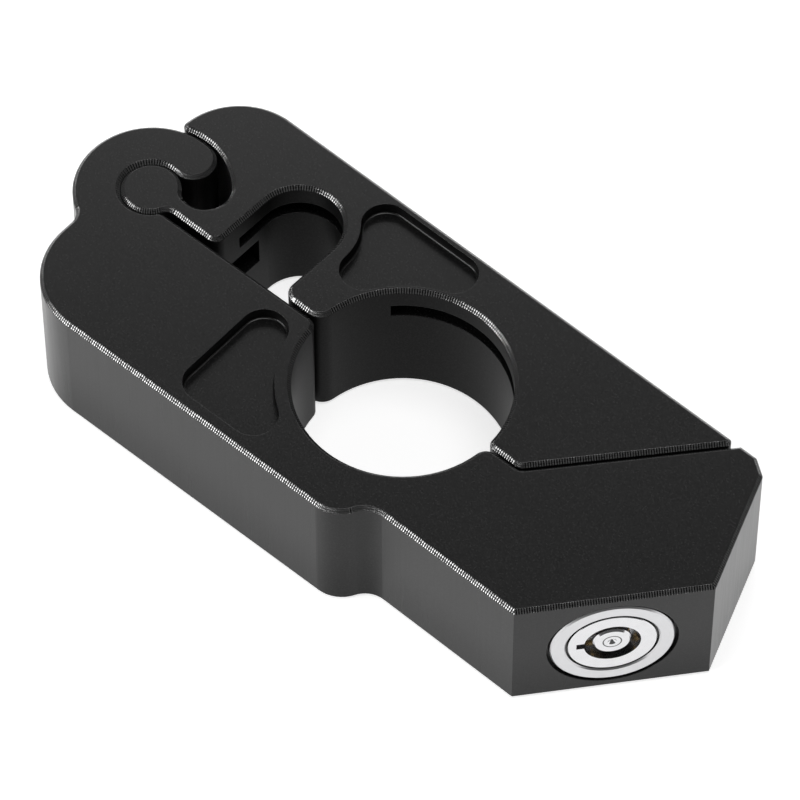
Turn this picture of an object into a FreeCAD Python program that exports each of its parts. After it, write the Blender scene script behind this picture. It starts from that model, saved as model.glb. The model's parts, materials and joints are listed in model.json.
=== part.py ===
"""Clamp lock for a motorcycle handlebar: a hooked body, a swinging jaw and a tubular key lock.

Units are millimetres. The Z axis is the axis of the bore that closes round the grip, Z = 0 is the
mid-plane of the plates, and X runs from the hinge hook (-X) to the key face (+X). The rest pose is
closed and unlocked: the jaw lies against the body and the bolt is drawn back.
"""

import FreeCAD, Part
import math
import os

V = FreeCAD.Vector
UP = V(0, 0, 1)

# Plates
THICKNESS = 28.0
HALF = THICKNESS / 2
RIM = 0.75           # 45 degree chamfer round both faces
BORE_R = 20.0        # half of the hole that closes round the grip
NEAR_Y = -30.0       # straight side of the body
FAR_Y = 31.35        # straight side of the jaw, before it is tilted shut
SPLIT_Y = -0.15      # body's inner side beside the lever hole
EAR_Y = -0.75        # body's inner side beside the key end

# Hinge: a round knuckle on the jaw sits in a C-shaped hook on the body
HINGE = V(-63.3, 2.7, 0)
KNUCKLE_R = 5.65
SOCKET_R = 5.72
HOOK_R = 14.4
HOOK_MID_R = (SOCKET_R + HOOK_R) / 2
HOOK_HALF = (HOOK_R - SOCKET_R) / 2
HOOK_TIP_DEG = 81.7
RECESS_GAP = 0.4     # room between the hook tip and the jaw's recess
RECESS_HALF = HOOK_HALF + RECESS_GAP
RECESS_END_DEG = 43.0
NECK_LOW_DEG = -20.0
WAIST_R = 3.0        # fillet between the hook and the body's left end
SHOULDER_R = 2.0
CROOK_R = 2.0        # fillet between the knuckle and the recess
CLAW_R = 1.3         # jaw's left tip

# Arc groove in the knuckle for the hinge screw's point
KNUCKLE_GROOVE_DEPTH = 1.5
KNUCKLE_GROOVE_HALF = 1.4
KNUCKLE_GROOVE_DEG = (122.0, 203.0)

# Body outline; each corner is its x, its y and the radius it is rounded by
LEFT_X = -69.2
LEFT_CORNER = (LEFT_X, NEAR_Y, 15.1)
STEP_FOOT = (9.81, NEAR_Y, 6.4)     # the near side steps in by about 6 mm
STEP_HEAD = (13.05, -23.85, 5.0)
KEY_LOW = (46.8, -24.5, 0)          # lower end of the key face
KEY_HIGH = (69.85, 2.6, 0)          # upper end of the key face
KEY_BACK = (61.2, 26.5, 1.0)        # short facet between the key side and the far side
FAR_BACK = (57.9, 28.82, 1.0)
SEAM_FAR_X = 54.2
EAR_R = 2.0
BORE_EDGE_R = 2.2                   # the bore's left end at the split
EAR_EDGE_R = 2.5
JAW_TILT = 1.2                   # the closed jaw leans this many degrees towards the body
FACE_DEG = math.degrees(math.atan2(KEY_HIGH[1] - KEY_LOW[1], KEY_HIGH[0] - KEY_LOW[0]))
SEAM_DEG = FACE_DEG - JAW_TILT   # seam between the jaw's end and the body
SEAM_DIST = 21.4                 # its distance from the bore's axis
SEAM_GAP = 0.5

# Jaw outline, drawn square and then turned about the hinge by JAW_TILT
JAW_IN_Y = 1.4
JAW_LEFT_X = -69.1
JAW_CORNER_R = 13.8
JAW_BORE = HINGE + FreeCAD.Rotation(UP, JAW_TILT).multVec(-HINGE)    # on the grip's axis once shut
JAW_END_DIST = 20.05
JAW_EAR_R = 2.5
JAW_TIP_R = 0.9
NECK_R = 2.0
TONGUE_LEVER_R = 2.8     # tongue between the lever slot and the bore
TONGUE_BORE_R = 3.2
JAW_BORE_EDGE_R = 1.5
LEVER_X = -37.6      # slot for the brake lever
LEVER_Y = 14.8
LEVER_R = 8.1

# Pockets and pad grooves
POCKET_DEPTH = 2.5
POCKET_R = 4.5       # cutter radius
POCKET_FLOOR_R = 0.4
BODY_POCKET_LEFT = -30.9
BODY_POCKET_LOW = -27.3
BODY_POCKET_ARC_R = 23.0
JAW_POCKET_LEFT = -36.0
JAW_POCKET_TOP = 29.85
JAW_POCKET_LOW = 8.0
JAW_POCKET_ARC_R = 21.25
JAW_POCKET_LEVER_R = 11.3
GROOVE_LOW = 6.5
GROOVE_HIGH = 9.6
GROOVE_DEPTH = 2.2
BORE_GROOVE_DEG = (30.0, 138.4)
GROOVE_CUTTER_R = 6.0
LEVER_GROOVE_Y = 7.4
PAD_SOCKET_END_Y = 12.45         # slot in the lever hole's flat wall, open at the split
PAD_SOCKET_Z = (-2.5, 4.0)
PAD_SOCKET_DEPTH = 3.0

# Lock, measured along its axis from the key face into the body
LOCK_R = 11.25
MOUTH_R = 11.85
MOUTH_DEPTH = 1.4
LOCK_HOLE_DEPTH = 24.0
SLEEVE_LEN = 20.0
RING_DEPTH = 3.9
BARREL_R = 8.36
BARREL_BACK = 17.9
BARREL_STEP = 0.36   # the barrel's front is turned down by this, which leaves a ring groove
BARREL_STEP_DEPTH = 0.6
KEYWAY_R = 5.1
NOTCH_LEN = 1.35     # slot in the keyway's rim that the key's lug enters by
NOTCH_WIDTH = 1.5
NOTCH_DEPTH = 3.1
POST_R = 3.45
ROTOR_FRONT = 4.2
ROTOR_BACK = 8.1
SHAFT_R = 2.6
TAIL_R = 2.0
TAIL_FLAT = 1.4
TAIL_BACK = 20.5
BLOCK_FRONT = 8.15
BLOCK_BACK = 13.3
BLOCK_R = 6.88
PIN_COUNT = 7
PIN_CIRCLE_R = 4.32
PIN_R = 0.6
PIN_HOLE_R = 0.66
KEY_PIN_PROUD = (0.5, 0.3, 0.6, 0.4, 0.7, 0.35, 0.55)
DRUM_FRONT = 14.4
DRUM_BACK = 25.0
DRUM_R = 4.2
FLANGE_R = 6.2
FLANGE_BACK = 15.6
BOLT_R = 6.0
BOLT_BACK = 15.95
BOLT_TIP = 29.4
BOLT_CUP_END = 25.3
BOLT_BORE_R = BOLT_R + 0.3
BOLT_TRAVEL = 6.0
QUARTER_TURN = 90.0
CAM_PIN_R = 0.9
CAM_PIN_DEPTH = 17.3
CAM_GROOVE_HALF = 1.1
CAM_GROOVE_FLOOR = 2.75
DRUM_SCREW_R = 1.0
DRUM_SCREW_TIP = 17.1
DRUM_HEAD_R = 2.1
DRUM_HEAD_SEAT = 2.2
STOP_R = 5.5
STOP_PIN_R = 0.6
STOP_DEG = 90 + 360 / PIN_COUNT * 2.5    # half way between two pins
STRIKER_R = 8.0
STRIKER_LEN = 9.0
STRIKER_SET = 0.25   # how far the bush sits below the jaw's end
DOWEL_R = 0.9
DOWEL_DEPTH = 10.7
DOWEL_LOW = 5.15

# Grub screws
SCREW_R = 2.0
DOG_R = 1.2
HINGE_SCREW_LEN = 7.2
HINGE_SCREW_SET = 0.9
HINGE_DOG_LEN = 1.8
SLEEVE_SCREW_DEPTH = 12.0    # depth below the key face
BOLT_SCREW_DEPTH = 26.6
BOLT_SCREW_LEN = 7.2
SCREW_SET = 0.3


def point(r, degrees, centre=V(0, 0, 0)):
    """The point at radius r and the given angle about centre."""
    a = math.radians(degrees)
    return centre + V(r * math.cos(a), r * math.sin(a), 0)


def rounded_face(corners):
    """A flat face from (x, y, radius) corners, each rounded by its radius."""
    edges = []
    pts = [V(x, y, 0) for x, y, _ in corners]
    count = len(corners)
    starts, ends, mids = [], [], []
    for i, (_, _, r) in enumerate(corners):
        here = pts[i]
        back = (pts[i - 1] - here).normalize()
        ahead = (pts[(i + 1) % count] - here).normalize()
        half = back.getAngle(ahead) / 2
        run = r / math.tan(half)
        bisector = (back + ahead).normalize()
        starts.append(here + back * run)
        ends.append(here + ahead * run)
        mids.append(here + bisector * (r / math.sin(half) - r))
    for i, (_, _, r) in enumerate(corners):
        if r > 0:
            edges.append(Part.Arc(starts[i], mids[i], ends[i]).toShape())
        leave, arrive = ends[i], starts[(i + 1) % count]
        if (arrive - leave).Length > 1e-6:
            edges.append(Part.LineSegment(leave, arrive).toShape())
    return Part.Face(Part.Wire(edges))


def plate(corners, low=-HALF, high=HALF):
    """A rounded outline, extruded from low to high."""
    face = rounded_face(corners)
    face.translate(V(0, 0, low))
    return face.extrude(V(0, 0, high - low))


def post(x, y, r, low=-HALF, high=HALF):
    """An upright cylinder."""
    return Part.makeCylinder(r, high - low, V(x, y, low), UP)


def wedge(centre, r, start, end, low=-HALF, high=HALF):
    """A pie slice about centre, from the start angle to the end angle."""
    base = V(centre.x, centre.y, low)
    slice_ = Part.makeCylinder(r, high - low, base, UP, end - start)
    return slice_.rotate(base, UP, start)


def round_uprights(solid, corners):
    """Rounds the upright edge nearest to each (x, y, radius)."""
    for x, y, r in corners:
        uprights = []
        for edge in solid.Edges:
            a, b = edge.Vertexes[0].Point, edge.Vertexes[-1].Point
            if abs(a.z - b.z) > 1 and abs(a.x - b.x) < 1e-4 and abs(a.y - b.y) < 1e-4:
                uprights.append((math.hypot(a.x - x, a.y - y), edge))
        nearest = min(uprights, key=lambda pair: pair[0])
        solid = solid.makeFillet(r, [nearest[1]])
    return solid


def flat_edges(solid, z):
    """The edges that lie in the plane at height z."""
    box = [edge.BoundBox for edge in solid.Edges]
    return [e for e, b in zip(solid.Edges, box) if abs(b.ZMin - z) < 1e-4 and abs(b.ZMax - z) < 1e-4]


def pocket_tool(region):
    """A pocket cutter from a raw region: corners rounded to the cutter, floor filleted."""
    face = region.makeOffset2D(-POCKET_R).makeOffset2D(POCKET_R).Faces[0]
    face.translate(V(0, 0, HALF - POCKET_DEPTH - face.BoundBox.ZMin))
    tool = face.extrude(V(0, 0, POCKET_DEPTH + 1))
    return tool.makeFillet(POCKET_FLOOR_R, flat_edges(tool, HALF - POCKET_DEPTH))


def flat_disc(x, y, r):
    """A flat round face."""
    return Part.Face(Part.Wire(Part.makeCircle(r, V(x, y, 0))))


def flat_box(x_low, y_low, x_high, y_high):
    """A flat rectangular face."""
    return Part.makePlane(x_high - x_low, y_high - y_low, V(x_low, y_low, 0))


def seam_point(degrees, dist, y):
    """Where the line at this angle and distance from the bore's axis crosses height y."""
    a = math.radians(degrees)
    return (dist + y * math.cos(a)) / math.sin(a), y


def far_side_y(x):
    """The tilted jaw's far side, which the body's far corner continues."""
    lean = math.radians(JAW_TILT)
    rise = (FAR_Y - HINGE.y) / math.cos(lean)
    return HINGE.y + rise - (x - HINGE.x) * math.tan(lean)


# The lock's own axes: X along the key face, Y up, Z out of the face
FACE_RAD = math.radians(FACE_DEG)
ALONG = V(math.cos(FACE_RAD), math.sin(FACE_RAD), 0)
OUT = V(math.sin(FACE_RAD), -math.cos(FACE_RAD), 0)
LOCK_CENTRE = V((KEY_LOW[0] + KEY_HIGH[0]) / 2, (KEY_LOW[1] + KEY_HIGH[1]) / 2, 0)
LOCK_PLACE = FreeCAD.Placement(FreeCAD.Matrix(
    ALONG.x, 0, OUT.x, LOCK_CENTRE.x,
    ALONG.y, 0, OUT.y, LOCK_CENTRE.y,
    0, 1, 0, 0,
    0, 0, 0, 1))


def in_lock(shape):
    """Moves a shape from the lock's own axes to the body's."""
    placed = shape.copy()
    placed.Placement = LOCK_PLACE.multiply(placed.Placement)
    return placed


def round_bar(r, front, back, x=0, y=0):
    """A cylinder in the lock's axes, between two depths below the key face."""
    return Part.makeCylinder(r, back - front, V(x, y, -back), UP)


def tube(r_out, r_in, front, back):
    """A tube in the lock's axes."""
    return round_bar(r_out, front, back).cut(round_bar(r_in, front - 1, back + 1))


def pin_places():
    """The (x, y) of each pin on its circle, with the first one at the top."""
    step = 360 / PIN_COUNT
    return [point(PIN_CIRCLE_R, 90 + step * i) for i in range(PIN_COUNT)]


def grub_screw(length, dog_length):
    """A socket grub screw with a dog point, its head at Z = 0 and its point at -Z."""
    screw = Part.makeCylinder(SCREW_R, length, V(0, 0, -length), UP)
    screw = screw.makeChamfer(0.35, flat_edges(screw, 0))
    if dog_length > 0:
        dog = Part.makeCylinder(DOG_R, dog_length, V(0, 0, -length - dog_length), UP)
        screw = screw.fuse(dog)
    key_across = 1.1 * SCREW_R
    corners = [point(key_across / math.sqrt(3), 60 * i) for i in range(6)]
    socket = Part.Face(Part.makePolygon(corners + corners[:1])).extrude(V(0, 0, -length / 2))
    return screw.cut(socket)


# ---------------------------------------------------------------- plates

def make_body():
    seam_far = seam_point(SEAM_DEG, SEAM_DIST, far_side_y(SEAM_FAR_X))
    ear_corner = seam_point(SEAM_DEG, SEAM_DIST, EAR_Y)
    body = plate([
        LEFT_CORNER,
        STEP_FOOT,
        STEP_HEAD,
        KEY_LOW,
        KEY_HIGH,
        KEY_BACK,
        FAR_BACK,
        (*seam_far, 0),
        (*ear_corner, EAR_R),
        (0, EAR_Y, 0),
        (0, SPLIT_Y, 0),
        (LEFT_X, SPLIT_Y, 0),
    ])
    hook = post(HINGE.x, HINGE.y, HOOK_R)
    tip_ray = point(3 * HOOK_R, HOOK_TIP_DEG, HINGE)
    right = HINGE.x + 3 * HOOK_R
    mouth = plate([
        (HINGE.x, SPLIT_Y, 0),
        (right, SPLIT_Y, 0),
        (right, tip_ray.y, 0),
        (tip_ray.x, tip_ray.y, 0),
        (HINGE.x, HINGE.y, 0),
    ], -HALF - 1, HALF + 1)
    tip = point(HOOK_MID_R, HOOK_TIP_DEG, HINGE)
    hook = hook.cut(mouth).fuse(post(tip.x, tip.y, HOOK_HALF))
    body = body.fuse(hook)
    body = body.cut(post(HINGE.x, HINGE.y, SOCKET_R))
    body = body.cut(post(0, 0, BORE_R)).removeSplitter()

    waist_y = HINGE.y - math.sqrt(HOOK_R ** 2 - (LEFT_X - HINGE.x) ** 2)
    shoulder_x = HINGE.x + math.sqrt(SOCKET_R ** 2 - (HINGE.y - SPLIT_Y) ** 2)
    body = round_uprights(body, [
        (LEFT_X, waist_y, WAIST_R),
        (shoulder_x, SPLIT_Y, SHOULDER_R),
        (-BORE_R, SPLIT_Y, BORE_EDGE_R),
        (BORE_R, EAR_Y, EAR_EDGE_R),
    ])
    body = body.makeChamfer(RIM, flat_edges(body, HALF) + flat_edges(body, -HALF))

    pocket = flat_box(BODY_POCKET_LEFT, BODY_POCKET_LOW, 0, 0)
    pocket = pocket.cut(flat_disc(0, 0, BODY_POCKET_ARC_R))
    body = body.cut(pocket_tool(pocket.Faces[0]))

    for cutter in (round_bar(LOCK_R + 0.05, -1, LOCK_HOLE_DEPTH),
                   round_bar(MOUTH_R, -1, MOUTH_DEPTH),
                   round_bar(BOLT_R + 0.05, 1, SEAM_DIST + 20)):
        body = body.cut(in_lock(cutter))
    for screw_hole in (upright_hole(SLEEVE_SCREW_DEPTH, LOCK_R),
                       upright_hole(BOLT_SCREW_DEPTH, BOLT_R),
                       hinge_screw_hole()):
        body = body.cut(screw_hole)
    return body


def make_jaw():
    end = seam_point(FACE_DEG, JAW_END_DIST, FAR_Y)
    inner = seam_point(FACE_DEG, JAW_END_DIST, JAW_IN_Y)
    jaw = plate([
        (JAW_LEFT_X, JAW_IN_Y, 0),
        (*inner, JAW_EAR_R),
        (*end, JAW_TIP_R),
        (JAW_LEFT_X, FAR_Y, JAW_CORNER_R),
    ])
    recess = post(HINGE.x, HINGE.y, HOOK_MID_R + RECESS_HALF, -HALF - 1, HALF + 1)
    recess = recess.cut(wedge(HINGE, 2 * HOOK_R, NECK_LOW_DEG, RECESS_END_DEG, -HALF - 2, HALF + 2))
    recess_end = point(HOOK_MID_R, RECESS_END_DEG, HINGE)
    jaw = jaw.cut(recess).cut(post(recess_end.x, recess_end.y, RECESS_HALF))
    jaw = jaw.fuse(post(HINGE.x, HINGE.y, KNUCKLE_R))
    lever = plate([
        (LEVER_X - LEVER_R, JAW_IN_Y - 2, 0),
        (LEVER_X + LEVER_R, JAW_IN_Y - 2, 0),
        (LEVER_X + LEVER_R, LEVER_Y, 0),
        (LEVER_X - LEVER_R, LEVER_Y, 0),
    ]).fuse(post(LEVER_X, LEVER_Y, LEVER_R))
    jaw = jaw.cut(lever).cut(post(JAW_BORE.x, JAW_BORE.y, BORE_R)).removeSplitter()

    neck_x = HINGE.x + math.sqrt(KNUCKLE_R ** 2 - (HINGE.y - JAW_IN_Y) ** 2)
    crook = point(KNUCKLE_R, RECESS_END_DEG - circle_meet_deg(KNUCKLE_R, RECESS_HALF), HINGE)
    recess_r = HOOK_MID_R + RECESS_HALF
    tip_y = HINGE.y + math.sqrt(recess_r ** 2 - (JAW_LEFT_X - HINGE.x) ** 2)
    jaw = round_uprights(jaw, [
        (crook.x, crook.y, CROOK_R),
        (JAW_LEFT_X, tip_y, CLAW_R),
        (neck_x, JAW_IN_Y, NECK_R),
        (LEVER_X - LEVER_R, JAW_IN_Y, NECK_R),
        (LEVER_X + LEVER_R, JAW_IN_Y, TONGUE_LEVER_R),
        (JAW_BORE.x - BORE_R, JAW_IN_Y, TONGUE_BORE_R),
        (JAW_BORE.x + BORE_R, JAW_IN_Y, JAW_BORE_EDGE_R),
    ])
    jaw = jaw.makeChamfer(RIM, flat_edges(jaw, HALF) + flat_edges(jaw, -HALF))

    pocket = flat_box(JAW_POCKET_LEFT, JAW_POCKET_LOW, 0, JAW_POCKET_TOP)
    pocket = pocket.cut(flat_disc(JAW_BORE.x, JAW_BORE.y, JAW_POCKET_ARC_R))
    pocket = pocket.cut(flat_disc(LEVER_X, LEVER_Y, JAW_POCKET_LEVER_R))
    jaw = jaw.cut(pocket_tool(max(pocket.Faces, key=lambda face: face.Area)))
    for cutter in (bore_groove(), lever_groove(), pad_socket(), knuckle_groove()):
        jaw = jaw.cut(cutter)
    jaw.rotate(HINGE, UP, -JAW_TILT)
    return jaw.cut(in_lock(round_bar(STRIKER_R, 0, seam_depth() + STRIKER_LEN)))


def circle_meet_deg(r, other_r):
    """Angle at the hinge between a recess end's centre and where two circles cross."""
    cos = (r ** 2 + HOOK_MID_R ** 2 - other_r ** 2) / (2 * r * HOOK_MID_R)
    return math.degrees(math.acos(cos))


def bore_groove():
    """Groove for a grip pad, milled round the jaw's half of the bore."""
    reach = BORE_R + GROOVE_DEPTH
    groove = wedge(JAW_BORE, reach, *BORE_GROOVE_DEG, GROOVE_LOW, GROOVE_HIGH)
    run_out = point(reach - GROOVE_CUTTER_R, BORE_GROOVE_DEG[0], JAW_BORE)
    return groove.fuse(post(run_out.x, run_out.y, GROOVE_CUTTER_R, GROOVE_LOW, GROOVE_HIGH))


def lever_groove():
    """The same groove round the lever hole."""
    reach = LEVER_R + GROOVE_DEPTH
    run = plate([
        (LEVER_X - reach, LEVER_GROOVE_Y, 0),
        (LEVER_X + reach, LEVER_GROOVE_Y, 0),
        (LEVER_X + reach, LEVER_Y, 0),
        (LEVER_X - reach, LEVER_Y, 0),
    ], GROOVE_LOW, GROOVE_HIGH)
    return run.fuse(post(LEVER_X, LEVER_Y, reach, GROOVE_LOW, GROOVE_HIGH))


def pad_socket():
    """Slot in the lever hole's flat wall."""
    z_low, z_high = PAD_SOCKET_Z
    corner = V(LEVER_X - LEVER_R - PAD_SOCKET_DEPTH, JAW_IN_Y - 1, z_low)
    return Part.makeBox(PAD_SOCKET_DEPTH + 1, PAD_SOCKET_END_Y - corner.y, z_high - z_low, corner)


def seam_depth():
    """Depth below the key face, on the lock's axis, at which the jaw's end begins."""
    seam = math.radians(SEAM_DEG)
    seam_out = V(math.sin(seam), -math.cos(seam), 0)
    return (LOCK_CENTRE.dot(seam_out) - SEAM_DIST + SEAM_GAP) / OUT.dot(seam_out)


# ---------------------------------------------------------------- screws in the plates

def upright_hole(depth, r):
    """A tapped hole from the underside into the lock's hole, whose radius is r."""
    spot = LOCK_CENTRE - OUT * depth
    return Part.makeCylinder(SCREW_R + 0.02, HALF - r + 1.5, V(spot.x, spot.y, -HALF - 1), UP)


def hinge_screw_hole():
    """A tapped hole through the back of the hook."""
    start = HINGE - V(HOOK_R + 1, 0, 0)
    return Part.makeCylinder(SCREW_R + 0.02, HOOK_R + 1 - SOCKET_R / 2, start, V(1, 0, 0))


def knuckle_groove():
    """Arc groove in the knuckle that the hinge screw's point runs in."""
    sector = wedge(HINGE, KNUCKLE_R + 1, *KNUCKLE_GROOVE_DEG, -KNUCKLE_GROOVE_HALF, KNUCKLE_GROOVE_HALF)
    return sector.cut(post(HINGE.x, HINGE.y, KNUCKLE_R - KNUCKLE_GROOVE_DEPTH))


def make_hinge_screw():
    screw = grub_screw(HINGE_SCREW_LEN, HINGE_DOG_LEN)
    screw.rotate(V(0, 0, 0), V(0, 1, 0), -90)
    screw.translate(HINGE - V(HOOK_R - HINGE_SCREW_SET, 0, 0))
    return screw


def from_below(screw, depth):
    """Turns a screw over and sets it into the underside, at a depth below the key face."""
    spot = LOCK_CENTRE - OUT * depth
    screw.rotate(V(0, 0, 0), V(1, 0, 0), 180)
    screw.translate(V(spot.x, spot.y, -HALF + SCREW_SET))
    return screw


def make_sleeve_screw():
    return from_below(grub_screw(HALF - LOCK_R - SCREW_SET, 0), SLEEVE_SCREW_DEPTH)


def make_bolt_guide_screw():
    """Its point runs in the bolt's slot and keeps the bolt from turning."""
    slot_reach = 1.0
    dog = HALF - BOLT_R - SCREW_SET - BOLT_SCREW_LEN + slot_reach
    return from_below(grub_screw(BOLT_SCREW_LEN, dog), BOLT_SCREW_DEPTH)


# ---------------------------------------------------------------- lock parts

def make_lock_sleeve():
    sleeve = tube(LOCK_R, BARREL_R + 0.02, 0, BARREL_BACK)
    sleeve = sleeve.fuse(tube(LOCK_R, BOLT_BORE_R, BARREL_BACK, SLEEVE_LEN)).removeSplitter()
    sleeve = sleeve.makeChamfer(0.3, flat_edges(sleeve, 0))
    half_groove = 0.9
    ring_groove = tube(LOCK_R + 1, LOCK_R - 1, RING_DEPTH - half_groove, RING_DEPTH + half_groove)
    return sleeve.cut(ring_groove).cut(block_dowel_shape())


def make_sleeve_ring():
    """Rubber ring that keeps water out of the lock's hole."""
    return Part.makeTorus(LOCK_R - 0.42, 0.45, V(0, 0, -RING_DEPTH), UP)


def make_lock_barrel():
    front = 0.15
    barrel = round_bar(BARREL_R, front, BARREL_BACK)
    barrel = barrel.cut(tube(BARREL_R + 1, BARREL_R - BARREL_STEP, 0, BARREL_STEP_DEPTH))
    barrel = barrel.makeChamfer(0.12, flat_edges(barrel, -front))
    barrel = barrel.cut(round_bar(KEYWAY_R, -1, BLOCK_FRONT))
    barrel = barrel.cut(round_bar(BLOCK_R + 0.02, BLOCK_FRONT, BARREL_BACK + 1))
    barrel = barrel.cut(tube(BLOCK_R + 0.45, BLOCK_R - 1, BLOCK_BACK, BLOCK_BACK + 0.9))
    notch = Part.makeBox(2 * NOTCH_LEN, NOTCH_WIDTH, 2 * NOTCH_DEPTH,
                         V(-KEYWAY_R - NOTCH_LEN, -NOTCH_WIDTH / 2, -NOTCH_DEPTH))
    return barrel.cut(notch).cut(block_dowel_shape())


def make_lock_plug():
    plug = round_bar(POST_R, 0.4, ROTOR_BACK)
    plug = plug.makeChamfer(0.35, flat_edges(plug, -0.4))
    plug = plug.fuse(round_bar(KEYWAY_R - 0.06, ROTOR_FRONT, ROTOR_BACK))
    plug = plug.fuse(round_bar(SHAFT_R, ROTOR_BACK - 1, BLOCK_BACK + 0.2))
    plug = plug.fuse(tail_bar(0, BLOCK_BACK, TAIL_BACK))
    dimple = Part.makeCone(0, 0.9, 0.9, V(0, 0, -1.25), UP)
    plug = plug.cut(dimple)
    plug = plug.cut(round_bar(DRUM_SCREW_R + 0.02, DRUM_SCREW_TIP - 0.1, TAIL_BACK + 1))
    for place in pin_places():
        plug = plug.cut(round_bar(PIN_HOLE_R, ROTOR_FRONT - 1, ROTOR_BACK + 1, place.x, place.y))
    return plug.removeSplitter()


def tail_bar(slack, front, back):
    """The plug's tail: a round bar with one flat."""
    bar = round_bar(TAIL_R + slack, front, back)
    flat = Part.makeBox(4 * TAIL_R, TAIL_R, back - front, V(-2 * TAIL_R, TAIL_FLAT + slack, -back))
    return bar.cut(flat)


def make_pin_block():
    block = tube(BLOCK_R, SHAFT_R + 0.05, BLOCK_FRONT, BLOCK_BACK)
    for place in pin_places():
        block = block.cut(round_bar(PIN_HOLE_R, BLOCK_FRONT - 1, BLOCK_BACK - 0.7, place.x, place.y))
    return block.cut(stop_pin_shape()).cut(block_dowel_shape())


def make_key_pins():
    """Brass pins in the rotor, their ends at slightly different heights."""
    pins = [round_bar(PIN_R, ROTOR_FRONT - proud, ROTOR_BACK - 0.02, at.x, at.y)
            for proud, at in zip(KEY_PIN_PROUD, pin_places())]
    return Part.makeCompound([p.makeChamfer(0.18, [top_edge(p)]) for p in pins])


def top_edge(bar):
    """The rim at the end of a bar that is nearest to the key face."""
    return flat_edges(bar, bar.BoundBox.ZMax)[0]


def make_driver_pins():
    pins = [round_bar(PIN_R, BLOCK_FRONT + 0.03, BLOCK_FRONT + 1.9, at.x, at.y) for at in pin_places()]
    return Part.makeCompound(pins)


def make_pin_springs():
    """One small coil spring behind each driver pin, wound from six-sided wire."""
    wire_r, coil_r, length, pitch = 0.11, 0.48, 2.1, 0.52
    corners = [V(coil_r + p.x, 0, p.y) for p in (point(wire_r, 60 * i) for i in range(6))]
    springs = []
    for at in pin_places():
        path = Part.Wire(Part.makeHelix(pitch, length, coil_r))
        section = Part.makePolygon(corners + corners[:1])
        spring = path.makePipeShell([section], True, True)
        spring.translate(V(at.x, at.y, -BLOCK_BACK + 0.7 + wire_r + 0.03))
        springs.append(spring)
    return Part.makeCompound(springs)


def block_dowel_shape():
    """Cross pin through sleeve, barrel and pin block."""
    return Part.makeCylinder(DOWEL_R, LOCK_R - 0.1 - DOWEL_LOW, V(0, DOWEL_LOW, -DOWEL_DEPTH), V(0, 1, 0))


def stop_pin_shape():
    """Pin in the block's back that limits the plug to a quarter turn."""
    spot = point(STOP_R, STOP_DEG)
    return round_bar(STOP_PIN_R, BLOCK_BACK - 2.3, FLANGE_BACK - 0.4, spot.x, spot.y)


def make_retaining_ring():
    """C-clip that holds the pin block in the barrel."""
    clip = tube(BLOCK_R + 0.4, BLOCK_R - 0.5, BLOCK_BACK + 0.03, BLOCK_BACK + 0.85)
    gap = wedge(V(0, 0, 0), 2 * BLOCK_R, -18.0, 18.0, -BLOCK_BACK - 2, -BLOCK_BACK)
    return clip.cut(gap)


def make_cam_drum():
    """Drum on the plug's tail: two helical grooves push the bolt, and an arc slot stops the turn."""
    drum = round_bar(DRUM_R, DRUM_FRONT, DRUM_BACK)
    drum = drum.fuse(round_bar(FLANGE_R, DRUM_FRONT, FLANGE_BACK))
    drum = drum.cut(tail_bar(0.02, DRUM_FRONT - 1, TAIL_BACK + 0.1))
    drum = drum.cut(round_bar(DRUM_SCREW_R + 0.1, TAIL_BACK, DRUM_BACK + 1))
    drum = drum.cut(round_bar(DRUM_HEAD_R + 0.1, DRUM_BACK - DRUM_HEAD_SEAT, DRUM_BACK + 1))
    for side in (0, 180):
        groove = cam_groove()
        groove.rotate(V(0, 0, 0), UP, side)
        drum = drum.cut(groove)
    half_slot = STOP_PIN_R + 0.15
    slot_end = STOP_DEG + QUARTER_TURN
    slot = wedge(V(0, 0, 0), STOP_R + half_slot, STOP_DEG, slot_end, -FLANGE_BACK - 1, -DRUM_FRONT + 1)
    slot = slot.cut(round_bar(STOP_R - half_slot, DRUM_FRONT - 2, FLANGE_BACK + 2))
    for degrees in (STOP_DEG, slot_end):
        end = point(STOP_R, degrees)
        slot = slot.fuse(round_bar(half_slot, DRUM_FRONT - 1, FLANGE_BACK + 1, end.x, end.y))
    return drum.cut(slot)


def cam_groove():
    """A helical groove that goes BOLT_TRAVEL deeper over a quarter turn, with round ends."""
    pitch = BOLT_TRAVEL * 360 / QUARTER_TURN
    mid_r = (CAM_GROOVE_FLOOR + DRUM_R + 0.4) / 2
    path = Part.Wire(Part.makeHelix(pitch, BOLT_TRAVEL, mid_r, 0, True))
    lead = math.atan2(pitch, 2 * math.pi * mid_r)
    across = V(0, math.sin(lead), math.cos(lead)) * CAM_GROOVE_HALF
    inner, outer = V(CAM_GROOVE_FLOOR, 0, 0), V(DRUM_R + 0.4, 0, 0)
    section = Part.makePolygon([inner + across, outer + across, outer - across, inner - across,
                                inner + across])
    groove = path.makePipeShell([section], True, True)
    first = Part.makeCylinder(CAM_GROOVE_HALF, DRUM_R + 0.4 - CAM_GROOVE_FLOOR, inner, V(1, 0, 0))
    last = first.copy()
    last.rotate(V(0, 0, 0), UP, -QUARTER_TURN)
    last.translate(V(0, 0, BOLT_TRAVEL))
    groove = groove.fuse(first).fuse(last)
    groove.translate(V(0, 0, -CAM_PIN_DEPTH - BOLT_TRAVEL))
    groove.rotate(V(0, 0, 0), UP, QUARTER_TURN)
    return groove


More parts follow.
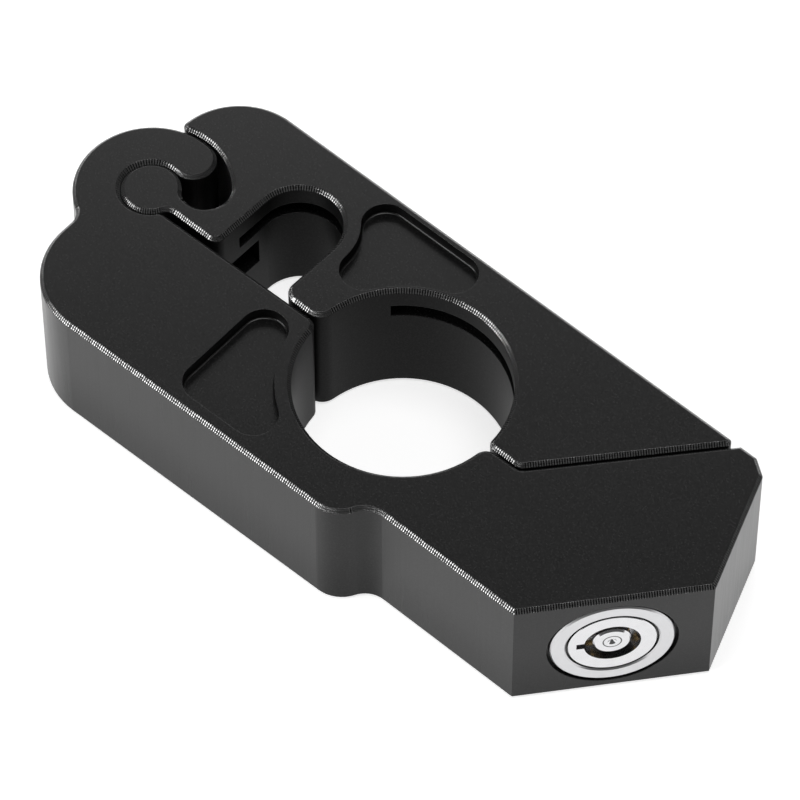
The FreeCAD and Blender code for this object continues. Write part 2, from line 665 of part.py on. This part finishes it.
def make_drum_screw():
    """Sunk into the drum from behind, it holds the drum on the plug's tail."""
    head_back = DRUM_BACK - 0.6
    screw = round_bar(DRUM_HEAD_R, DRUM_BACK - DRUM_HEAD_SEAT, head_back)
    screw = screw.fuse(round_bar(DRUM_SCREW_R, DRUM_SCREW_TIP, head_back - 1))
    slot = Part.makeBox(4 * DRUM_HEAD_R, 0.5, 0.7, V(-2 * DRUM_HEAD_R, -0.25, -head_back))
    return screw.cut(slot).removeSplitter()


def make_lock_bolt():
    bolt = round_bar(BOLT_R, BOLT_BACK, BOLT_TIP)
    bolt = bolt.makeChamfer(0.8, flat_edges(bolt, -BOLT_TIP))
    bolt = bolt.cut(round_bar(DRUM_R + 0.2, BOLT_BACK - 1, BOLT_CUP_END))
    bolt = bolt.cut(cam_pin_pair())
    half_slot = DOG_R + 0.15
    back = BOLT_SCREW_DEPTH + half_slot + 0.05
    slot_len = BOLT_TRAVEL + 2 * half_slot + 0.1
    slot = Part.makeBox(2 * half_slot, 2, slot_len, V(-half_slot, -BOLT_R - 0.7, -back))
    return bolt.cut(slot)


def cam_pin_pair():
    """Two pins pressed through the bolt's wall, their ends in the drum's grooves."""
    inner_r = CAM_GROOVE_FLOOR + 0.25
    length = BOLT_R - 0.1 - inner_r
    ends = [V(side * inner_r, 0, -CAM_PIN_DEPTH) for side in (1, -1)]
    return Part.makeCompound([Part.makeCylinder(CAM_PIN_R, length, end, V(end.x, 0, 0)) for end in ends])


def make_striker_bush():
    """Steel bush in the jaw's end that takes the bolt."""
    front = seam_depth() + STRIKER_SET
    return tube(STRIKER_R - 0.02, BOLT_BORE_R, front, seam_depth() + STRIKER_LEN - 0.05)


PARTS = {
    "body": make_body,
    "jaw": make_jaw,
    "hinge_screw": make_hinge_screw,
    "sleeve_screw": make_sleeve_screw,
    "bolt_guide_screw": make_bolt_guide_screw,
    "lock_sleeve": lambda: in_lock(make_lock_sleeve()),
    "sleeve_ring": lambda: in_lock(make_sleeve_ring()),
    "lock_barrel": lambda: in_lock(make_lock_barrel()),
    "lock_plug": lambda: in_lock(make_lock_plug()),
    "pin_block": lambda: in_lock(make_pin_block()),
    "key_pins": lambda: in_lock(make_key_pins()),
    "driver_pins": lambda: in_lock(make_driver_pins()),
    "pin_springs": lambda: in_lock(make_pin_springs()),
    "block_dowel": lambda: in_lock(block_dowel_shape()),
    "stop_pin": lambda: in_lock(stop_pin_shape()),
    "retaining_ring": lambda: in_lock(make_retaining_ring()),
    "cam_drum": lambda: in_lock(make_cam_drum()),
    "drum_screw": lambda: in_lock(make_drum_screw()),
    "lock_bolt": lambda: in_lock(make_lock_bolt()),
    "cam_pins": lambda: in_lock(cam_pin_pair()),
    "striker_bush": lambda: in_lock(make_striker_bush()),
}

os.makedirs("parts", exist_ok=True)
for name, make in PARTS.items():
    shape = make()
    print(name, "valid", shape.isValid(), "solids", len(shape.Solids), "volume", round(shape.Volume, 2))
    shape.exportStep("parts/" + name + ".step")
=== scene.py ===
"""Looks for the handlebar clamp lock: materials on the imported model, floor, soft light and camera."""

import json
import math

import bpy
from mathutils import Euler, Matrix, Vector


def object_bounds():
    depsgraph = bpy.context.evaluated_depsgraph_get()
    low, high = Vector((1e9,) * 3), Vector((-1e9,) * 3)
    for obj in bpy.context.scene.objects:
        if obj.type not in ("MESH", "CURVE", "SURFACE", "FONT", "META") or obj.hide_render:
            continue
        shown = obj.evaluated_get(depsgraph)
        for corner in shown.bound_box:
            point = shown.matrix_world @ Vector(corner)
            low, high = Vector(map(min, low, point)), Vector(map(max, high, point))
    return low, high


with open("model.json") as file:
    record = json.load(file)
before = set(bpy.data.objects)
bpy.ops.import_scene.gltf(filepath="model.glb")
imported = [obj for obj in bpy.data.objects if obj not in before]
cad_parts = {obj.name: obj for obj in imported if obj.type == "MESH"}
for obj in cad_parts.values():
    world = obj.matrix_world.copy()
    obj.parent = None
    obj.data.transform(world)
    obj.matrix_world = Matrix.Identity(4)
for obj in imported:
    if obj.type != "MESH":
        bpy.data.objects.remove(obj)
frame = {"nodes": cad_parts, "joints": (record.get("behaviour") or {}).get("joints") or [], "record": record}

cad_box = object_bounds()

MM = 0.001
HALF = cad_box[1].z / MM          # the plates' faces are this far above and below the mid-plane
RIM = 0.75                        # chamfer round both faces, in millimetres

# Camera
AIM = Vector((-4.2, 4.05, 0.0)) * MM
AIM_DISTANCE = 1.0549
AZIMUTH = math.radians(40.93)
ELEVATION = math.radians(54.98)
LENS = 262.2
SENSOR = 36.0

# Centres of the plates' round edges, x, y and radius in millimetres, at rest
HINGE = tuple(v / MM for v in frame["joints"][0]["pos_m"][:2])
BORE_R = frame["record"]["mounts"][0]["dims"]["r_mm"]

# The lock's axis: a point on it in millimetres, and its direction
PLUG_TURN = frame["joints"][1]
LOCK_CENTRE = tuple(v / MM for v in PLUG_TURN["pos_m"])
LOCK_AXIS = tuple(PLUG_TURN["axis"])


class Graph:
    """A material's node tree. Each method adds a node and returns its output."""

    def __init__(self, name):
        self.material = bpy.data.materials.new(name)
        self.material.use_nodes = True
        self.tree = self.material.node_tree
        self.tree.nodes.clear()
        output = self.tree.nodes.new("ShaderNodeOutputMaterial")
        self.shader = self.tree.nodes.new("ShaderNodeBsdfPrincipled")
        self.tree.links.new(self.shader.outputs[0], output.inputs[0])
        coordinates = self.tree.nodes.new("ShaderNodeTexCoord")
        self.place = self.vector("SCALE", coordinates.outputs["Object"], scale=1 / MM)
        self.normal = coordinates.outputs["Normal"]

    def feed(self, socket, value):
        if isinstance(value, bpy.types.NodeSocket):
            self.tree.links.new(value, socket)
        else:
            socket.default_value = value

    def number(self, operation, a, b=0.0, c=0.0, clamp=False):
        node = self.tree.nodes.new("ShaderNodeMath")
        node.operation = operation
        node.use_clamp = clamp
        for socket, value in zip(node.inputs, (a, b, c)):
            self.feed(socket, value)
        return node.outputs[0]

    def vector(self, operation, a, b=(0, 0, 0), scale=1.0):
        node = self.tree.nodes.new("ShaderNodeVectorMath")
        node.operation = operation
        self.feed(node.inputs[0], a)
        self.feed(node.inputs[1], b)
        if operation == "SCALE":
            node.inputs["Scale"].default_value = scale
        return node.outputs["Value" if operation in ("LENGTH", "DOT_PRODUCT") else "Vector"]

    def split(self, vector):
        node = self.tree.nodes.new("ShaderNodeSeparateXYZ")
        self.feed(node.inputs[0], vector)
        return node.outputs

    def join(self, x, y, z):
        node = self.tree.nodes.new("ShaderNodeCombineXYZ")
        for socket, value in zip(node.inputs, (x, y, z)):
            self.feed(socket, value)
        return node.outputs[0]

    def smooth_step(self, value, low, high):
        """0 below low, 1 above high."""
        node = self.tree.nodes.new("ShaderNodeMapRange")
        node.interpolation_type = "SMOOTHSTEP"
        self.feed(node.inputs["Value"], value)
        node.inputs["From Min"].default_value = low
        node.inputs["From Max"].default_value = high
        return node.outputs[0]

    def band(self, value, low, high, soft):
        """1 between low and high, falling to 0 over soft."""
        rise = self.smooth_step(value, low - soft, low)
        fall = self.smooth_step(value, high, high + soft)
        return self.number("SUBTRACT", rise, fall, clamp=True)

    def noise(self, vector, scale, detail=2.0, roughness=0.5):
        node = self.tree.nodes.new("ShaderNodeTexNoise")
        self.feed(node.inputs["Vector"], vector)
        node.inputs["Scale"].default_value = scale
        node.inputs["Detail"].default_value = detail
        node.inputs["Roughness"].default_value = roughness
        return node.outputs["Fac"]

    def wave(self, value, pitch):
        """Runs smoothly from 0 to 1 and back once in each pitch."""
        phase = self.number("MULTIPLY", value, 2 * math.pi / pitch)
        return self.number("MULTIPLY_ADD", self.number("SINE", phase), 0.5, 0.5)

    def rounded_edges(self, radius):
        """The normal, as if every edge were rounded by this radius in millimetres."""
        node = self.tree.nodes.new("ShaderNodeBevel")
        node.samples = 6
        node.inputs["Radius"].default_value = radius * MM
        return node.outputs[0]

    def mix(self, factor, a, b):
        node = self.tree.nodes.new("ShaderNodeMix")
        self.feed(node.inputs[0], factor)
        self.feed(node.inputs[2], a)
        self.feed(node.inputs[3], b)
        return node.outputs[0]

    def mix_colour(self, factor, a, b):
        node = self.tree.nodes.new("ShaderNodeMix")
        node.data_type = "RGBA"
        self.feed(node.inputs[0], factor)
        self.feed(node.inputs[6], a)
        self.feed(node.inputs[7], b)
        return node.outputs[2]

    def bump(self, height, distance, normal=None):
        """height is 0 to 1, and distance its full height in millimetres."""
        node = self.tree.nodes.new("ShaderNodeBump")
        self.feed(node.inputs["Height"], height)
        node.inputs["Distance"].default_value = distance * MM
        if normal is not None:
            self.feed(node.inputs["Normal"], normal)
        return node.outputs[0]

    def set(self, **values):
        """Sets the shader's own sockets, such as Base_Color."""
        for name, value in values.items():
            self.feed(self.shader.inputs[name.replace("_", " ")], value)


def grey(level, alpha=1.0):
    return (level, level, level, alpha)


# ---------------------------------------------------------------- anodised aluminium

TICK_PITCH = 0.47                 # chatter marks along the chamfers, in millimetres
ROW_PITCH = 0.36                  # passes of the cutter across a chamfer
EDGE_R = 0.19                     # every edge is broken by this radius
CHAMFER_LEAN = (0.66, 0.76)       # z of a chamfer's normal lies between these
RELIEF = 0.03                     # height of the whole relief, in millimetres

# How strongly each kind of face reflects, as the shader's specular level
TOP_GLOSS = 0.5
WALL_GLOSS_FOOT_SHADED = (0.19, 0.27)         # at a wall's foot and at its top; the lower level at the foot is painted shade, a darker reflection of the floor near the plate
# walls in holes and recesses: a low specular level, painted shade
HOLLOW_SHADE_GLOSS = 0.07
CHAMFER_GLOSS = 0.10
BROKEN_GLOSS = 0.6


def edge_run(g, arcs):
    """Millimetres along the plates' edges: straight runs from the position, arcs from the angle."""
    x, y, _ = g.split(g.place)
    nx, ny, _ = g.split(g.normal)
    along = g.vector("NORMALIZE", g.join(g.number("MULTIPLY", ny, -1.0), nx, 0.0))
    run = g.vector("DOT_PRODUCT", g.place, along)
    for centre_x, centre_y, radius in arcs:
        dx = g.number("SUBTRACT", x, centre_x)
        dy = g.number("SUBTRACT", y, centre_y)
        away = g.vector("LENGTH", g.join(dx, dy, 0.0))
        inside = g.band(away, radius - 1.6 * RIM, radius + 1.6 * RIM, 0.01)
        # only where the edge really turns about this centre
        radial = g.vector("DOT_PRODUCT", g.vector("NORMALIZE", g.join(dx, dy, 0.0)), along)
        turning = g.number("LESS_THAN", g.number("ABSOLUTE", radial), 0.05)
        arc = g.number("MULTIPLY", g.number("ARCTAN2", dy, dx), radius)
        run = g.mix(g.number("MULTIPLY", inside, turning), run, arc)
    return run


def bored_and_shaded(g, discs):
    """How matt and dark a wall in a hole or recess is, 0 to 1: rougher as a bored finish, and darker as
    painted shade through a lower specular level. A disc is its centre, radius and share.
    """
    x, y, _ = g.split(g.place)
    mask = 0.0
    for centre_x, centre_y, radius, share in discs:
        dx = g.number("SUBTRACT", x, centre_x)
        dy = g.number("SUBTRACT", y, centre_y)
        inside = g.number("LESS_THAN", g.vector("LENGTH", g.join(dx, dy, 0.0)), radius)
        mask = g.number("MAXIMUM", mask, g.number("MULTIPLY", inside, share))
    return mask


def anodised(name, arcs, discs):
    """Black anodised plate, its chamfers and broken edges cut with fine chatter marks."""
    g = Graph(name)
    _, _, z = g.split(g.place)
    _, _, nz = g.split(g.normal)
    height = g.number("ABSOLUTE", z)
    level = g.number("ABSOLUTE", nz)
    wall = g.smooth_step(g.number("SUBTRACT", 1.0, level), 0.5, 0.6)
    # inner marks walls in holes and recesses: rougher, and darker as painted shade
    inner = g.number("MULTIPLY", bored_and_shaded(g, discs), wall)
    rim = g.smooth_step(height, HALF - RIM - 0.02, HALF - RIM)
    chamfer = g.number("MULTIPLY", g.band(level, *CHAMFER_LEAN, 0.02), rim)
    rounded = g.rounded_edges(EDGE_R)
    turned = g.number("SUBTRACT", 1.0, g.vector("DOT_PRODUCT", rounded, g.normal))
    near_top = g.smooth_step(height, HALF - RIM - 0.4, HALF - RIM - 0.1)
    broken = g.number("MULTIPLY", g.smooth_step(turned, 0.01, 0.06), near_top)
    cut = g.number("ADD", chamfer, broken, clamp=True)
    grain = g.noise(g.place, 2.8, 4.0, 0.7)
    cloud = g.noise(g.place, 0.06, 2.0)

    run = edge_run(g, arcs)
    # each chatter mark is a shallow scallop, and the marks come and go in patches
    scallop = g.wave(run, TICK_PITCH)
    rows = g.wave(z, ROW_PITCH)
    along_edge = g.join(run, g.number("MULTIPLY", z, 2.0), 0.0)
    patches = g.smooth_step(g.noise(along_edge, 1.1, 3.0, 0.6), 0.34, 0.6)
    tick = g.number("MULTIPLY", scallop, g.mix(rows, 0.6, 1.0))
    tick = g.number("MULTIPLY", tick, g.number("MULTIPLY", chamfer, g.mix(patches, 0.65, 1.0)))
    sparkle = g.noise(g.place, 3.2, 2.0, 0.6)
    glint = g.number("MULTIPLY", broken, g.smooth_step(sparkle, 0.48, 0.66))
    bright = g.smooth_step(g.number("ADD", tick, g.number("MULTIPLY", glint, 0.5)), 0.25, 0.85)

    down_wall = g.join(g.number("MULTIPLY", run, 1.4), g.number("MULTIPLY", z, 0.03), 0.0)
    streak = g.noise(down_wall, 1.0, 3.0)
    relief = g.number("ADD", g.number("MULTIPLY", tick, 0.6), g.number("MULTIPLY", grain, 0.09))
    relief = g.number("ADD", relief, g.number("MULTIPLY", g.number("MULTIPLY", streak, wall), 0.10))
    relief = g.number("ADD", relief, g.number("MULTIPLY", g.number("MULTIPLY", sparkle, broken), 1.2))

    shade = g.mix(cloud, 0.0022, 0.0036)
    shade = g.mix(g.smooth_step(grain, 0.42, 0.68), shade, 0.011)
    plain = g.join(shade, shade, shade)
    rough_top = g.mix(grain, 0.16, 0.34)
    rough_wall = g.mix(inner, g.mix(streak, 0.24, 0.34), 0.42)
    # walls reflect less towards their foot: painted shade
    gloss = g.mix(g.smooth_step(z, -HALF, 0.3 * HALF), *WALL_GLOSS_FOOT_SHADED)
    gloss = g.mix(wall, TOP_GLOSS, gloss)
    # walls in holes and recesses reflect less: painted shade
    gloss = g.mix(inner, gloss, HOLLOW_SHADE_GLOSS)
    gloss = g.mix(chamfer, gloss, CHAMFER_GLOSS)
    gloss = g.mix(broken, gloss, BROKEN_GLOSS)
    g.set(
        Base_Color=g.mix_colour(bright, g.mix_colour(cut, plain, grey(0.004)), grey(0.34)),
        Metallic=bright,
        IOR=1.5,
        Specular_IOR_Level=gloss,
        Roughness=g.mix(cut, g.mix(wall, rough_top, rough_wall), 0.24),
        Normal=g.bump(relief, RELIEF, normal=rounded),
    )
    return g.material


# ---------------------------------------------------------------- metals of the lock

SHADED_GROOVE = (7.99, 8.40)       # ring groove between the sleeve and the barrel, painted dark as the shade in it: its two radii
POST_RING = (1.55, 1.72)          # ring turned into the end of the post, painted dark


def metal(name, colour, roughness, marks=0.0015):
    """Bare or plated metal with faint turning marks about the lock's axis."""
    g = Graph(name)
    grain = g.noise(g.place, 14.0, 3.0)
    cloud = g.noise(g.place, 0.5, 2.0)
    away = g.vector("CROSS_PRODUCT", g.vector("SUBTRACT", g.place, LOCK_CENTRE), LOCK_AXIS)
    radius = g.vector("LENGTH", away)
    rings = g.noise(g.join(g.number("MULTIPLY", radius, 9.0), 0.0, 0.0), 1.0, 2.0)
    # both rings are painted dark; in the groove between sleeve and barrel this is painted shade
    groove_shade_and_post_ring = g.number("MAXIMUM", g.band(radius, *SHADED_GROOVE, 0.03), g.band(radius, *POST_RING, 0.04))
    relief = g.number("ADD", rings, g.number("MULTIPLY", grain, 0.5))
    tone = g.number("ADD", g.number("MULTIPLY", cloud, 0.5), g.number("MULTIPLY", rings, 0.5))
    clean = g.mix_colour(tone, (*(c * 0.82 for c in colour), 1.0), (*colour, 1.0))
    g.set(
        Base_Color=g.mix_colour(groove_shade_and_post_ring, clean, grey(0.03)),
        Metallic=1.0,
        Roughness=g.mix(grain, roughness * 0.8, roughness * 1.2),
        Normal=g.bump(relief, marks),
    )
    return g.material


def rubber(name):
    g = Graph(name)
    grain = g.noise(g.place, 12.0, 3.0)
    g.set(
        Base_Color=g.mix_colour(grain, grey(0.012), grey(0.02)),
        Roughness=g.mix(grain, 0.6, 0.75),
        Normal=g.bump(grain, 0.01),
    )
    return g.material


# ---------------------------------------------------------------- floor, light and camera

FLOOR_GAP = 0.02 * MM             # keeps the floor clear of the plates' lower faces
FLOOR_REACH = 6.0                 # from the origin to the floor's edge, in metres


def make_floor():
    """A white floor that glows, so that only faint contact shadows show."""
    mesh = bpy.data.meshes.new("floor")
    z = cad_box[0].z - FLOOR_GAP
    signs = [(-1, -1), (1, -1), (1, 1), (-1, 1)]
    mesh.from_pydata([(x * FLOOR_REACH, y * FLOOR_REACH, z) for x, y in signs], [], [(0, 1, 2, 3)])
    floor = bpy.data.objects.new("floor", mesh)
    bpy.context.scene.collection.objects.link(floor)
    g = Graph("floor_white")
    tint = g.noise(g.place, 0.004, 2.0)
    g.set(
        Base_Color=g.mix_colour(tint, grey(0.80), grey(0.82)),
        Roughness=0.9,
        Specular_IOR_Level=0.1,
        Emission_Color=grey(1.0),
        Emission_Strength=0.70,
    )
    mesh.materials.append(g.material)


def area_light(name, direction, distance, width, height, radiance):
    """A softbox that faces the object from the given direction, its size and distance in metres."""
    data = bpy.data.lights.new(name, "AREA")
    data.shape = "RECTANGLE"
    data.size = width
    data.size_y = height
    data.energy = radiance * math.pi * width * height
    light = bpy.data.objects.new(name, data)
    towards = Vector(direction).normalized()
    light.location = towards * distance
    light.rotation_euler = towards.to_track_quat("Z", "Y").to_euler()
    bpy.context.scene.collection.objects.link(light)


def make_light():
    world = bpy.data.worlds.new("studio")
    world.use_nodes = True
    background = world.node_tree.nodes["Background"]
    background.inputs["Color"].default_value = grey(1.0)
    background.inputs["Strength"].default_value = 0.11
    bpy.context.scene.world = world
    area_light("overhead", (0.12, 0.04, 1.0), 2.0, 1.2, 1.2, 3.0)
    area_light("back_left", (-0.550, 0.655, 0.518), 2.3, 1.7, 1.6, 1.6)
    area_light("left_strip", (-0.464, -0.803, 0.375), 1.6, 1.2, 0.5, 7.0)


def make_camera():
    data = bpy.data.cameras.new("camera")
    data.lens = LENS
    data.sensor_width = SENSOR
    camera = bpy.data.objects.new("camera", data)
    back = Vector((math.sin(AZIMUTH) * math.cos(ELEVATION),
                   -math.cos(AZIMUTH) * math.cos(ELEVATION),
                   math.sin(ELEVATION)))
    camera.location = AIM + back * AIM_DISTANCE
    camera.rotation_euler = Euler((math.pi / 2 - ELEVATION, 0.0, AZIMUTH))
    bpy.context.scene.collection.objects.link(camera)
    bpy.context.scene.camera = camera


def dress(materials):
    """Puts each material on its CAD nodes."""
    for material, names in materials.items():
        for name in names:
            for slot in frame["nodes"][name].material_slots:
                slot.link = "OBJECT"
                slot.material = material


LEVER_FLOOR = (-37.35, 14.26, 8.1)
LEFT_CORNER = (-54.1, -14.9, 15.1)
BORE_ARC = (0.0, 0.0, BORE_R)
body_arcs = [(*HINGE, 14.4), (*HINGE, 5.72), BORE_ARC, LEFT_CORNER]
jaw_arcs = [(*HINGE, 14.8), (*HINGE, 5.65), BORE_ARC, LEVER_FLOOR]

# Walls in these discs are made rougher and darker; the darkening is painted shade in the bore, the lever
# hole, the tongue's recess and the concave step.
bore_disc = (0.0, 0.0, BORE_R + 0.5, 1.0)
step_shade_disc = (11.0, -27.5, 6.0, 0.35)
lever_disc = (-37.4, 8.0, 17.0, 1.0)
tongue_disc = (-22.0, 0.0, 6.0, 1.0)

dress({
    anodised("anodised_body", body_arcs, [bore_disc, step_shade_disc]): ["body"],
    anodised("anodised_jaw", jaw_arcs, [bore_disc, lever_disc, tongue_disc]): ["jaw"],
    metal("satin_chrome", (0.66, 0.66, 0.67), 0.30): ["lock_sleeve"],
    metal("bright_chrome", (0.74, 0.74, 0.75), 0.16, 0.0006): ["lock_barrel", "lock_plug"],
    metal("steel", (0.46, 0.46, 0.47), 0.3): [
        "driver_pins", "pin_springs", "block_dowel", "stop_pin", "cam_drum",
        "drum_screw", "lock_bolt", "cam_pins", "striker_bush",
    ],
    metal("black_steel", (0.045, 0.045, 0.047), 0.4): [
        "hinge_screw", "sleeve_screw", "bolt_guide_screw", "retaining_ring",
    ],
    metal("brass", (0.72, 0.50, 0.22), 0.25): ["key_pins", "pin_block"],
    rubber("rubber"): ["sleeve_ring"],
})
make_floor()
make_light()
make_camera()
bpy.context.scene.view_settings.view_transform = "Standard"
